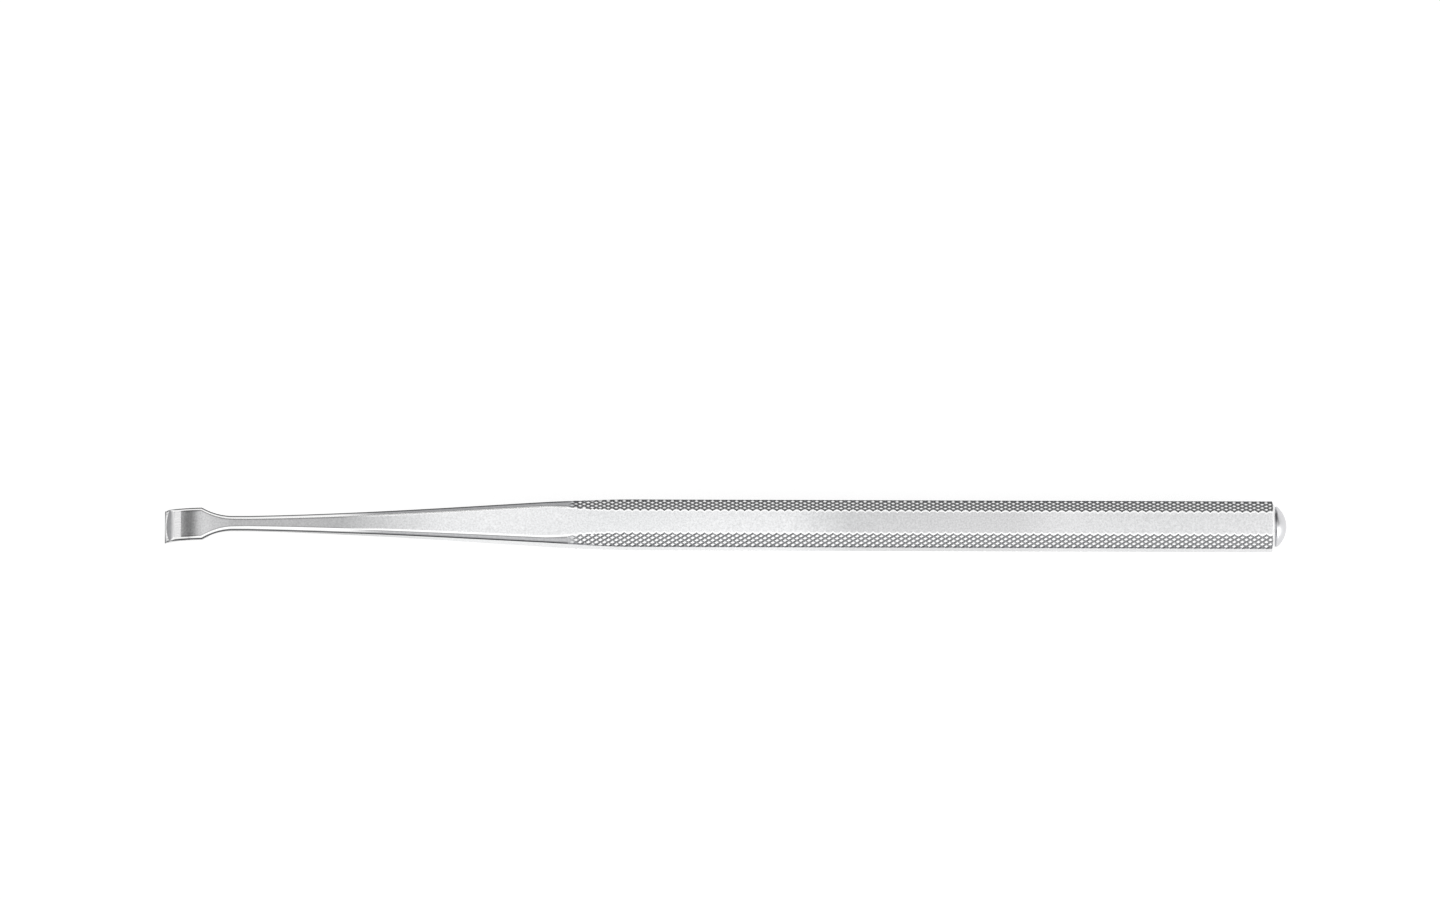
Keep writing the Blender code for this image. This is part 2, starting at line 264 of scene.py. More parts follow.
def crease_turns(y):
    """Turns of the borders between the tip's faces, from the edge up, for each y across it.

    At the middle the bevel ends where the relief facet starts, so the rings between the two close
    to a point there.
    """
    normals = np.array([(-math.sin(turn), math.cos(turn)) for turn, _ in (hone, bevel)])
    reach = np.stack([np.full_like(y, hone[1]), bevel[1] + dish(y)])
    crossing = np.linalg.solve(normals, reach)
    uncut = CENTRE_RADIUS + back_height(y)
    edge = np.full_like(y, float(turn_at(hone, BEND_RADIUS + EDGE_LAND)))
    hone_end = np.maximum(np.arctan2(-crossing[0], crossing[1]), turn_at(hone, uncut))
    bevel_end = np.minimum(turn_at(bevel, uncut, dish(y)), hone_end)
    bevel_end = np.maximum(bevel_end, BEVEL_START)
    straight = [np.full_like(y, crease) for crease in (BEVEL_START, RELIEF_START, 0.0)]
    return [edge, hone_end, bevel_end, *straight]


def ring_turns(y):
    """The turn of each ring at each y: evenly spaced between one crease and the next."""
    creases = crease_turns(y)
    counts = (HONE_RINGS, BEVEL_RINGS, ARC_RINGS, RELIEF_RINGS, BEND_RINGS)
    turns = []
    for first, second, count in zip(creases, creases[1:], counts):
        steps = np.arange(count).reshape(-1, *([1] * y.ndim)) / count
        turns.append(first + steps * (second - first))
    return np.concatenate(turns)


def bend_points():
    """Rings of the bend (rings, nodes, 3).

    Each node is carried round the bend's centre by its turn, and what stands above the ground
    faces is brought down to them.
    """
    middle = ring_turns(np.zeros(1))[:, 0]
    u = BEND_START - CENTRE_RADIUS * np.sin(middle)
    eight = corners(u)
    rest = (middle[0] - middle) * BEND_RADIUS
    fade = np.clip(rest / BREAK_FADE, LEAST_BREAK, 1.0)
    bottom = -half_height(u)[:, None]
    for corner in (2, 5):
        eight[:, corner, 1] = bottom[:, 0] + (eight[:, corner, 1] - bottom[:, 0]) * fade
    for corner, side in ((3, 1.0), (4, -1.0)):
        outer = side * half_width(u)
        eight[:, corner, 0] = outer + (eight[:, corner, 0] - outer) * fade
    flat = section(eight, FRONT_FACET_CELLS, FRONT_FLAT_CELLS)
    y, n = flat[..., 0], flat[..., 1]
    across = np.minimum(np.abs(y), BLADE_WIDTH / 2)
    turn = ring_turns(across[0])
    limit = ground_limit(turn, across) - CENTRE_RADIUS
    top = np.minimum(back_height(across), limit)
    on_side = np.abs(y) > half_width(u)[:, None] - SIDE_SLACK
    squeeze = (top - bottom) / (back_height(across) - bottom)
    n = np.where(on_side, bottom + (n - bottom) * np.minimum(squeeze, 1.0), np.minimum(n, limit))
    radius = CENTRE_RADIUS + n
    place = (BEND_CENTRE[0] - radius * np.sin(turn), y, BEND_CENTRE[1] + radius * np.cos(turn))
    return np.stack(place, axis=-1)


def straight_points(u, flat):
    """Sections at their places along the axis: (u, y, n) for each node."""
    return np.concatenate([np.broadcast_to(u[:, None, None], (*flat.shape[:2], 1)), flat], axis=-1)


neck_u = np.linspace(BEND_START, NECK_END, NECK_RINGS, endpoint=False)
shank_u = np.linspace(NECK_END, KNURL_START - JOINT_GAP, SHANK_RINGS)
front_u = np.concatenate([neck_u, shank_u])
front = np.concatenate(
    [
        bend_points(),
        straight_points(front_u, section(corners(front_u), FRONT_FACET_CELLS, FRONT_FLAT_CELLS)),
    ]
)

# The knurl: two families of grooves rolled slantwise into the four corner facets of the handle.
# They leave diamonds with worn, domed tops, and cut a scalloped border into the smooth flats.
KNURL_PITCH = 1.0 * MM  # from one diamond to the next, along the handle
KNURL_ROWS = 6  # half diamonds across a facet
KNURL_DEPTH = 0.14 * MM  # a little over the solid's, whose crests are pointed
KNURL_RUN_IN = 1.5 * MM
CREST_FLAT = 0.5  # share of the way to the groove that the crest's top takes
CREST_DOME = 0.15  # share of the depth that goes into rounding the crest
CELLS_A_PITCH = 8
KNURL_FACET_CELLS = 24
KNURL_FLAT_CELLS = 5
CROWDED = 0.01 * MM  # between the nodes that crowd inside a border

BUTTON_ACROSS = 5.1 * MM
BUTTON_HEIGHT = 1.2 * MM
BUTT_GROOVE = 0.12 * MM
BUTT_CONE = math.radians(62.0)
cone_foot = OVERALL_LENGTH - BUTTON_HEIGHT - 2 * BUTT_GROOVE

facet_width = math.sqrt(2) * (HANDLE_ACROSS - KNURL_ACROSS / math.sqrt(2))
half_row = facet_width / KNURL_ROWS


def groove_families(u, q):
    """How far a point is from the nearest crest line of each family, 0 on it and 1 in the groove.

    The families run along p + q and p - q, counted in half pitches along and half rows across.
    """
    p, q = (u - KNURL_START) / (KNURL_PITCH / 2), q / half_row
    return [np.abs((f + 1.0) % 2.0 - 1.0) for f in (p + q, p - q)]


def groove_share(u, q):
    """Depth of the knurl as a share of the full depth: straight flanks and a domed crest."""
    first, second = groove_families(u, q)
    flank = np.clip((np.maximum(first, second) - CREST_FLAT) / (1 - CREST_FLAT), 0.0, 1.0)
    return (1 - CREST_DOME) * flank + CREST_DOME * (first**2 + second**2) / 2


def rows_across(eight):
    """Places (rings, 4, nodes) across the facets, in metres from their middles and as shares.

    They keep to the rows of the knurl, and those past the borders of a narrow facet crowd just
    inside them.
    """
    width = np.linalg.norm(eight[:, 1::2] - eight[:, 0::2], axis=-1)[:, :, None]
    step = np.arange(KNURL_FACET_CELLS + 1) - KNURL_FACET_CELLS // 2
    rows = np.abs(step) * half_row * KNURL_ROWS / KNURL_FACET_CELLS
    inside = width / 2 - (KNURL_FACET_CELLS // 2 - np.abs(step)) * CROWDED
    q = np.sign(step) * np.minimum(rows, inside)
    q[..., 0], q[..., -1] = -width[..., 0] / 2, width[..., 0] / 2
    return q, 0.5 + q / width


def knurl_sink(u, q):
    """Groove depths (rings, 4, nodes) on the facets, fading in where the knurl starts."""
    depth = KNURL_DEPTH * np.clip((u - KNURL_START) / KNURL_RUN_IN, 0.0, 1.0)
    return depth[:, None, None] * groove_share(u[:, None, None], q)


knurl_step = KNURL_PITCH / CELLS_A_PITCH
corner_radius = math.hypot(KNURL_ACROSS / 2, facet_width / 2)
cone_reach = (corner_radius - BUTTON_ACROSS / 2) / math.tan(BUTT_CONE)
knurl_count = int((cone_foot - cone_reach - KNURL_START) / knurl_step)
knurl_u = KNURL_START + knurl_step * np.arange(knurl_count + 1)
knurl_eight = corners(knurl_u)
knurl_q, knurl_across = rows_across(knurl_eight)
knurl = straight_points(
    knurl_u,
    section(
        knurl_eight,
        KNURL_FACET_CELLS,
        KNURL_FLAT_CELLS,
        knurl_across,
        knurl_sink(knurl_u, knurl_q),
    ),
)

# The butt: the bar's end turned down on a lathe to a cone, a fine groove and a domed button.
# The button takes light blows, so its rim is rounded.
RIM_RADIUS = 0.12 * MM
RIM_BACK = math.radians(135.0)  # how far round its arc the rim goes
BUTT_FLAT_CELLS = 16
SECTION_RINGS = 2  # these keep the bar's section, and the cone starts at the last of them
CONE_RINGS = 4
CONE_FOOT_RING = SECTION_RINGS + CONE_RINGS - 1
DOME_RINGS = 14
RIM_RINGS = 6

crown_radius = ((BUTTON_ACROSS / 2) ** 2 + BUTTON_HEIGHT**2) / (2 * BUTTON_HEIGHT)
crown_centre = OVERALL_LENGTH - crown_radius


def butt_share(u):
    """The knurl's groove shares (1, 4, facet nodes) for a section whose nodes each have a u."""
    on_facets = u.reshape(4, -1)[:, : KNURL_FACET_CELLS + 1]
    return groove_share(on_facets[None], knurl_q[-1:])


def full_section(u):
    """One knurled section (nodes, 2) just before the butt, whose nodes each have their own u."""
    eight = corners(knurl_u[-1:])
    depth = KNURL_DEPTH * butt_share(u)
    return section(eight, KNURL_FACET_CELLS, BUTT_FLAT_CELLS, knurl_across[-1:], depth)[0]


def cone_meets(flat):
    """Where the turned cone meets each node of a section: at the node's own radius."""
    radius = np.hypot(flat[:, 0], flat[:, 1])
    return cone_foot - (radius - BUTTON_ACROSS / 2) / math.tan(BUTT_CONE)


def butt_profile():
    """The groove and button as (u, radius): the groove's root, the rim's arc, then the dome's."""
    tangent = math.asin((BUTTON_ACROSS / 2 - RIM_RADIUS) / (crown_radius - RIM_RADIUS))
    rim_centre = crown_centre + (crown_radius - RIM_RADIUS) * math.cos(tangent)
    rim = np.linspace(RIM_BACK, tangent, RIM_RINGS)
    dome = np.linspace(tangent, 0.0, DOME_RINGS, endpoint=False)[1:]
    root = [[rim_centre - RIM_RADIUS], [BUTTON_ACROSS / 2 - BUTT_GROOVE]]
    rim_arc = [
        rim_centre + RIM_RADIUS * np.cos(rim),
        BUTTON_ACROSS / 2 - RIM_RADIUS + RIM_RADIUS * np.sin(rim),
    ]
    dome_arc = [crown_centre + crown_radius * np.cos(dome), crown_radius * np.sin(dome)]
    return np.concatenate([root, rim_arc, dome_arc], axis=1).T


def butt_points():
    """Rings of the turned end (rings, nodes, 3), after the last ring of the knurl.

    The bar's section goes on until it meets the cone. From there each node keeps its angle round
    the axis, and its radius is the turned profile's.
    """
    nodes = 4 * (KNURL_FACET_CELLS + BUTT_FLAT_CELLS)
    meets = cone_meets(full_section(np.full(nodes, knurl_u[-1])))
    met = full_section(meets)
    meets = cone_meets(met)
    between = (knurl_u[-1] + meets) / 2
    rings = [(between, full_section(between)), (meets, met)]
    angle = np.arctan2(met[:, 1], met[:, 0])
    around = np.stack([np.cos(angle), np.sin(angle)], axis=-1)
    for share in np.linspace(0.0, 1.0, CONE_RINGS + 1)[1:]:
        u = meets + share * (cone_foot - meets)
        radius = BUTTON_ACROSS / 2 + (cone_foot - u) * math.tan(BUTT_CONE)
        rings.append((u, radius[:, None] * around))
    for u, radius in butt_profile():
        rings.append((np.full(nodes, u), radius * around))
    return np.stack([np.concatenate([u[:, None], flat], axis=1) for u, flat in rings])


butt = butt_points()

# The whole tool is one closed surface: the three stretches joined ring to ring, the cutting edge's
# narrow land closed by one face and the crown by a fan.
stretches = [
    (front, FRONT_FACET_CELLS, FRONT_FLAT_CELLS),
    (knurl, KNURL_FACET_CELLS, KNURL_FLAT_CELLS),
    (butt, KNURL_FACET_CELLS, BUTT_FLAT_CELLS),
]
SATIN, CHAMFERED, KNURLED, BEVELLED, HONED, TURNED = range(6)


def cells(first, rings, nodes):
    """Corner indices (rings - 1, nodes, 4) of a stretch's cells, wound to face outwards."""
    index = first + np.arange(rings * nodes).reshape(rings, nodes)
    beside = np.roll(index, -1, axis=1)
    return np.stack([index[:-1], index[1:], beside[1:], beside[:-1]], axis=-1)


JOINT_ANCHORS = 6  # for each facet and its flat; the first is where the facet starts


def anchors(facet_cells, flat_cells):
    """Nodes of a ring that every stretch has: each facet's ends and the soft edges' nodes."""
    both = facet_cells + flat_cells
    offsets = [0, facet_cells, facet_cells + 1, facet_cells + 2, both - 2, both - 1]
    return [k * both + offset for k in range(4) for offset in offsets] + [4 * both]


def joint_faces(last_ring, first_ring, before, after, facet_finish):
    """Faces between two stretches, and their finishes.

    They go cell by cell where the two have the same nodes, and otherwise one face goes from
    anchor to anchor, with all the nodes between.
    """
    here, there = anchors(*before), anchors(*after)
    faces, finish = [], []
    for place, (l0, l1, m0, m1) in enumerate(zip(here, here[1:], there, there[1:])):
        alike = l1 - l0 == m1 - m0
        count = l1 - l0 if alike else 1
        for i in range(count):
            a, b = (l0 + i, l0 + i + 1) if alike else (l0, l1)
            c, d = (m0 + i, m0 + i + 1) if alike else (m0, m1)
            face = [a + last_ring]
            face += [m % there[-1] + first_ring for m in range(c, d + 1)]
            face += [n % here[-1] + last_ring for n in range(b, a, -1)]
            faces.append(face)
        finish += [SATIN if place % JOINT_ANCHORS else facet_finish] * count
    return faces, finish


crown = [[OVERALL_LENGTH, 0.0, 0.0]]
points = np.concatenate([*(stretch[0].reshape(-1, 3) for stretch in stretches), crown])
grids = [stretch[0].shape[:2] for stretch in stretches]
firsts = np.cumsum([0, *(rings * nodes for rings, nodes in grids)])
front_cells, knurl_cells, butt_cells = (
    cells(first, rings, nodes) for first, (rings, nodes) in zip(firsts, grids)
)

knurl_columns = np.arange(grids[1][1]) % (KNURL_FACET_CELLS + KNURL_FLAT_CELLS)
in_facet = knurl_columns < KNURL_FACET_CELLS
middle_u = (knurl_u[:-1] + knurl_u[1:])[:, None, None] / 2
middle_q = (knurl_q[:-1, :, :-1] + knurl_q[1:, :, 1:]) / 2
first_family, second_family = groove_families(middle_u, middle_q)
falling = np.zeros((grids[1][0] - 1, grids[1][1]), bool)
falling[:, in_facet] = (first_family > second_family).reshape(len(falling), -1)
a, b, c, d = np.moveaxis(knurl_cells, -1, 0)
one = np.where(falling[..., None], np.stack([a, b, d], -1), np.stack([a, b, c], -1))
other = np.where(falling[..., None], np.stack([b, c, d], -1), np.stack([a, c, d], -1))

tip_columns = np.arange(grids[0][1])
facet_and_flat = FRONT_FACET_CELLS + FRONT_FLAT_CELLS
on_back_flat = tip_columns >= 3 * facet_and_flat + FRONT_FACET_CELLS
on_back_side = (tip_columns >= 3 * facet_and_flat) | (tip_columns < FRONT_FACET_CELLS)
front_finish = np.full(front_cells.shape[:2], SATIN)
front_finish[:, tip_columns % facet_and_flat < FRONT_FACET_CELLS] = CHAMFERED
bevel_stop = HONE_RINGS + BEVEL_RINGS
relief_first = bevel_stop + ARC_RINGS
front_finish[:bevel_stop, on_back_side] = BEVELLED
front_finish[:HONE_RINGS, on_back_side] = HONED
front_finish[relief_first : relief_first + RELIEF_RINGS, on_back_flat] = HONED
knurl_finish = np.where(in_facet, KNURLED, SATIN) * np.ones((len(falling), 1), int)
butt_finish = np.full(butt_cells.shape[:2], TURNED)
butt_columns = np.arange(grids[2][1]) % (KNURL_FACET_CELLS + BUTT_FLAT_CELLS)
butt_finish[: SECTION_RINGS - 1] = np.where(butt_columns < KNURL_FACET_CELLS, KNURLED, SATIN)

to_knurl, to_knurl_finish = joint_faces(
    firsts[1] - grids[0][1],
    firsts[1],
    (FRONT_FACET_CELLS, FRONT_FLAT_CELLS),
    (KNURL_FACET_CELLS, KNURL_FLAT_CELLS),
    CHAMFERED,
)
to_butt, to_butt_finish = joint_faces(
    firsts[2] - grids[1][1],
    firsts[2],
    (KNURL_FACET_CELLS, KNURL_FLAT_CELLS),
    (KNURL_FACET_CELLS, BUTT_FLAT_CELLS),
    KNURLED,
)
land = [list(range(grids[0][1]))]
last_butt = np.arange(firsts[3] - grids[2][1], firsts[3])
fan = np.stack([last_butt, np.full_like(last_butt, firsts[3]), np.roll(last_butt, -1)], axis=-1)

faces, finishes = [], []
for group, finish in (
    (front_cells.reshape(-1, 4), front_finish),
    (one.reshape(-1, 3), knurl_finish),
    (other.reshape(-1, 3), knurl_finish),
    (butt_cells.reshape(-1, 4), butt_finish),
    (fan, np.full(len(fan), TURNED)),
):
    faces += group.tolist()
    finishes.append(finish.ravel())
faces += to_knurl + to_butt + land
finishes += [to_knurl_finish, to_butt_finish, [HONED]]


def lay_down():
    """The turn and shift that lay the tool on its cutting edge and its lower flat's butt end."""
    heel = cone_foot - (HANDLE_ACROSS / 2 - BUTTON_ACROSS / 2) / math.tan(BUTT_CONE)
    tilt = math.atan2(-HANDLE_ACROSS / 2 - EDGE[1], heel - EDGE[0])
    turn = Matrix.Rotation(tilt, 4, "Y")
    edge, top = turn @ Vector((EDGE[0], 0.0, EDGE[1])), turn @ Vector((OVERALL_LENGTH, 0.0, 0.0))
    return Matrix.Translation((-(edge.x + top.x) / 2, 0.0, -edge.z)) @ turn


mesh = bpy.data.meshes.new("ground_steel_chisel")
mesh.from_pydata(points.tolist(), [], faces)
mesh.transform(lay_down())
mesh.polygons.foreach_set("material_index", np.concatenate(finishes).astype(np.int32))
mesh.polygons.foreach_set("use_smooth", np.ones(len(faces), bool))

# Three values at each node tell the finishes where they are: how deep in a groove, how worn and
# brightened by a painted highlight, and how near a dark line of painted shade along the outer
# border of each corner facet.
PLAIN_GROOVE = 0.42  # the value of a facet that isn't knurled yet
# Towards the blade the chamfers are polished bright and carry a painted highlight, which fades out
# between these two.
BRIGHT_CHAMFERS_TO, PLAIN_FROM = 22.0 * MM, 27.0 * MM


def set_attribute(name, values):
    """A value for each point of the mesh, which the finishes read by its name."""
    attribute = mesh.attributes.new(name, "FLOAT", "POINT")
    attribute.data.foreach_set("value", values.astype(np.float32))


def fold_out(shares, flat_cells):
    """Groove shares of the facets' nodes, with zeros for the flats', in the order of a section."""
    plain = np.zeros((shares.shape[0], flat_cells - 1))
    return np.concatenate([part for k in range(4) for part in (shares[:, k], plain)], axis=1)


run_in = np.clip((knurl_u - KNURL_START) / KNURL_RUN_IN, 0.0, 1.0)[:, None]
knurl_share = groove_share(knurl_u[:, None, None], knurl_q)
knurl_groove = fold_out(knurl_share, KNURL_FLAT_CELLS)
groove = np.zeros(len(points))
groove[firsts[1] : firsts[2]] = (PLAIN_GROOVE + (knurl_groove - PLAIN_GROOVE) * run_in).ravel()
for ring in range(SECTION_RINGS):
    first = firsts[2] + ring * grids[2][1]
    u = points[first : first + grids[2][1], 0]
    groove[first : first + grids[2][1]] = fold_out(butt_share(u), BUTT_FLAT_CELLS)[0]
set_attribute("groove", groove)

# The dark lines are painted shade: full along each corner facet's outer border, weaker along its
# other borders, and on the first rings from the cutting edge.
LINE_FULL, LINE_END = 0.15 * MM, 0.3 * MM  # how far the dark line is full, and where it ends
INNER_LINE = 0.5  # a weaker line along the other borders: on the facet or, by the blade, the flat
# The bevel's gleam towards the relief facet is a painted highlight.
RELIEF_GLEAM = 5  # rings of the bevel over which it brightens towards the relief facet
GLEAM_MOST = 0.9
CUTTING_LINE = (1.0, 1.0, 0.4)  # the dark line on the first rings, from the cutting edge

rubbed_and_highlit_parts, line_parts = [], []
for (stretch, facet_cells, flat_cells), (rings, nodes) in zip(stretches, grids):
    sides = stretch.reshape(rings, 4, -1, 3)
    step = np.arange(sides.shape[2])
    borders = sides[:, :, [facet_cells, 0]]
    side_border = np.stack([borders[:, k, k % 2] for k in range(4)], axis=1)
    from_side = np.linalg.norm(sides - side_border[:, :, None], axis=-1)
    dark = np.clip((LINE_END - from_side) / (LINE_END - LINE_FULL), 0.0, 1.0)
    at_border = (step == 0) | (step == facet_cells)
    on_soft_edge = (step == facet_cells + 1) | (step == step[-1])
    polish_and_highlight = np.interp(sides[..., 0], (BRIGHT_CHAMFERS_TO, PLAIN_FROM), (1.0, 0.0))
    dark = np.where(step <= facet_cells, dark, on_soft_edge * polish_and_highlight * INNER_LINE)
    if facet_cells == FRONT_FACET_CELLS:
        inner = (step == 1) | (step == facet_cells - 1)
        dark = np.maximum(dark, inner * (1.0 - polish_and_highlight) * INNER_LINE)
    line_parts.append(dark)
    rubbed_with_highlight = np.where(step <= facet_cells, polish_and_highlight, 0.0)
    rubbed_and_highlit_parts.append(np.where(at_border, 1.0, np.where(on_soft_edge, 1.0 - polish_and_highlight, rubbed_with_highlight)))
gleam = np.linspace(0.0, GLEAM_MOST, RELIEF_GLEAM + 1)[1:, None, None]
rubbed_and_highlit_parts[0][:bevel_stop] = 0.0
rubbed_and_highlit_parts[0][bevel_stop - RELIEF_GLEAM + 1 : bevel_stop + 1] = gleam
# The cone is worn bright and carries a painted highlight.
rubbed_and_highlit_parts[2][SECTION_RINGS - 1 : CONE_FOOT_RING] = 1.0
rubbed_and_highlit_parts[2][CONE_FOOT_RING:] = 0.0
line_parts[0][: len(CUTTING_LINE)] = np.array(CUTTING_LINE)[:, None, None]
line_parts[0][bevel_stop : relief_first + RELIEF_RINGS + 1, -1, FRONT_FACET_CELLS + 1 :] = 0.0
set_attribute("rubbing_and_painted_highlight", np.concatenate([*(part.ravel() for part in rubbed_and_highlit_parts), [0.0]]))
set_attribute("painted_edge_shade", np.concatenate([*(part.ravel() for part in line_parts), [0.0]]))

GROUND_SHARP = math.radians(2.8)  # under the angle of the relief facet's border
HANDLE_SHARP = math.radians(32.0)
edge_ends = np.zeros(2 * len(mesh.edges), np.int32)
mesh.edges.foreach_get("vertices", edge_ends)
in_front = edge_ends.reshape(-1, 2).max(axis=1) < firsts[1]
sharp = {}
for angle in (GROUND_SHARP, HANDLE_SHARP):
    mesh.set_sharp_from_angle(angle=angle)
    sharp[angle] = np.zeros(len(mesh.edges), bool)
    mesh.attributes["sharp_edge"].data.foreach_get("value", sharp[angle])
final_sharp = np.where(in_front, sharp[GROUND_SHARP], sharp[HANDLE_SHARP])
mesh.attributes["sharp_edge"].data.foreach_set("value", final_sharp)
mesh.validate()
mesh.update()

chisel = bpy.data.objects.new("ground_steel_chisel", mesh)
bpy.context.scene.collection.objects.link(chisel)


def linear(hex_colour):
    """An sRGB hex colour as the linear colour that a shader takes."""
    srgb = np.array([int(hex_colour[i : i + 2], 16) / 255 for i in (1, 3, 5)])
    light = np.where(srgb <= 0.04045, srgb / 12.92, ((srgb + 0.055) / 1.055) ** 2.4)
    return (*light.tolist(), 1.0)


def add_node(tree, kind, settings=None, **inputs):
    """A node with its settings, each input given a value or linked from another node's output.

    An input is called by its name, or by i and its number.
    """
    node = tree.nodes.new(kind)
    for name, value in (settings or {}).items():
        setattr(node, name, value)
    for name, value in inputs.items():
        socket = node.inputs[int(name[1:]) if name[1:].isdigit() else name.replace("_", " ")]
        if isinstance(value, bpy.types.NodeSocket):
            tree.links.new(value, socket)
        else:
            socket.default_value = value
    return node


def steel_material(name):
    """A new steel material, with its tree, its Principled shader and its Object coordinates."""
    material = bpy.data.materials.new(name)
    material.use_nodes = True
    tree = material.node_tree
    shader = tree.nodes["Principled BSDF"]
    shader.inputs["Metallic"].default_value = 1.0
    place = add_node(tree, "ShaderNodeTexCoord").outputs["Object"]
    mesh.materials.append(material)
    return tree, shader, place


# Satin stainless steel, blasted with fine bead: an even, soft grey that glows under a wide lamp,
# with a fine mottle from the bead. The neck, ground by hand, is darker, and painted shade darkens
# the handle a little, most where it is held. Every edge is worn bright and carries a painted
# highlight, and by the blade keeps a dark line of painted shade.
GRAIN = 0.22 * MM  # real bead marks are finer; this is as coarse as the render needs
UNEVEN = 22.0 * MM
BLADE_TO, DARK_FROM = -65.5 * MM, -61.0 * MM  # along the tool, from its middle
DARK_TO, BRIGHT_FROM = -48.0 * MM, -35.0 * MM
BRIGHT_TO, HELD_FROM = 8.0 * MM, 16.0 * MM
HELD_TO, REAR_FROM = 36.0 * MM, 43.0 * MM
BLADE_LEVEL, NECK_LEVEL = 0.8, 0.55  # how bright, where the shank is 1
# Where the handle is held and towards its rear, the lower levels are painted shade.
HELD_LEVEL, REAR_LEVEL = 0.745, 0.87
MOTTLE_LOW, MOTTLE_HIGH = 0.72, 1.05
BUMP_HEIGHT = 0.01 * MM
BLASTED_SMOOTH, BLASTED_ROUGH, WORN_ROUGH = 0.28, 0.34, 0.15
# The colour of the dark lines of painted shade.
DARK_LINE = "#3C3D3F"

tree, shader, place = steel_material("satin_stainless_steel")
along = add_node(tree, "ShaderNodeSeparateXYZ", Vector=place)
blade = add_node(
    tree,
    "ShaderNodeMapRange",
    Value=along.outputs["X"],
    From_Min=BLADE_TO,
    From_Max=DARK_FROM,
    To_Min=BLADE_LEVEL,
    To_Max=NECK_LEVEL,
)
shank = add_node(
    tree,
    "ShaderNodeMapRange",
    Value=along.outputs["X"],
    From_Min=DARK_TO,
    From_Max=BRIGHT_FROM,
    To_Min=NECK_LEVEL,
    To_Max=1.0,
)
neck_darkening = add_node(
    tree,
    "ShaderNodeMath",
    {"operation": "MAXIMUM"},
    i0=blade.outputs["Result"],
    i1=shank.outputs["Result"],
)
# Painted shade over the held part of the handle, easing towards its rear.
held = add_node(
    tree,
    "ShaderNodeMapRange",
    Value=along.outputs["X"],
    From_Min=BRIGHT_TO,
    From_Max=HELD_FROM,
    To_Min=1.0,
    To_Max=HELD_LEVEL,
)
rear = add_node(
    tree,
    "ShaderNodeMapRange",
    Value=along.outputs["X"],
    From_Min=HELD_TO,
    From_Max=REAR_FROM,
    To_Min=HELD_LEVEL,
    To_Max=REAR_LEVEL,
)
handle_shade = add_node(
    tree,
    "ShaderNodeMath",
    {"operation": "MAXIMUM"},
    i0=held.outputs["Result"],
    i1=rear.outputs["Result"],
)
grain = add_node(tree, "ShaderNodeTexNoise", Vector=place, Scale=1 / GRAIN, Detail=2.0)
fine = add_node(
    tree,
    "ShaderNodeMapRange",
    Value=grain.outputs["Fac"],
    From_Min=0.25,
    From_Max=0.75,
    To_Min=MOTTLE_LOW,
    To_Max=MOTTLE_HIGH,
)
mottle_and_shade = add_node(
    tree,
    "ShaderNodeMath",
    {"operation": "MULTIPLY"},
    i0=handle_shade.outputs["Value"],
    i1=fine.outputs["Result"],
)
level = add_node(
    tree,
    "ShaderNodeMath",
    {"operation": "MULTIPLY"},
    i0=mottle_and_shade.outputs["Value"],
    i1=neck_darkening.outputs["Value"],
)
uneven = add_node(tree, "ShaderNodeTexNoise", Vector=place, Scale=1 / UNEVEN, Detail=1.0)
slow = add_node(
    tree, "ShaderNodeMapRange", Value=uneven.outputs["Fac"], From_Min=0.35, From_Max=0.65
)
tone = add_node(
    tree,
    "ShaderNodeMix",
    {"data_type": "RGBA"},
    i0=slow.outputs["Result"],
    i6=linear("#EAEBEC"),
    i7=linear("#F4F4F5"),
)
plain = add_node(
    tree,
    "ShaderNodeVectorMath",
    {"operation": "SCALE"},
    i0=tone.outputs[2],
    Scale=level.outputs["Value"],
)
rubbed_and_highlit = add_node(tree, "ShaderNodeAttribute", {"attribute_name": "rubbing_and_painted_highlight"})
line = add_node(tree, "ShaderNodeAttribute", {"attribute_name": "painted_edge_shade"})
# Every edge is worn bright, and its brighter colour is also a painted highlight.
rubbed_with_highlight = add_node(
    tree,
    "ShaderNodeMix",
    {"data_type": "RGBA"},
    i0=rubbed_and_highlit.outputs["Fac"],
    i6=plain.outputs["Vector"],
    i7=linear("#F6F6F6"),
)
colour = add_node(
    tree,
    "ShaderNodeMix",
    {"data_type": "RGBA"},
    i0=line.outputs["Fac"],
    i6=rubbed_with_highlight.outputs[2],
    i7=linear(DARK_LINE),
)
tree.links.new(colour.outputs[2], shader.inputs["Base Color"])
blasted = add_node(
    tree,
    "ShaderNodeMapRange",
    Value=grain.outputs["Fac"],
    From_Min=0.3,
    From_Max=0.7,
    To_Min=BLASTED_SMOOTH,
    To_Max=BLASTED_ROUGH,
)
rough = add_node(
    tree, "ShaderNodeMix", i0=rubbed_and_highlit.outputs["Fac"], i2=blasted.outputs["Result"], i3=WORN_ROUGH
)
tree.links.new(rough.outputs[0], shader.inputs["Roughness"])
bump = add_node(
    tree, "ShaderNodeBump", Height=grain.outputs["Fac"], Strength=0.05, Distance=BUMP_HEIGHT
)
tree.links.new(bump.outputs["Normal"], shader.inputs["Normal"])

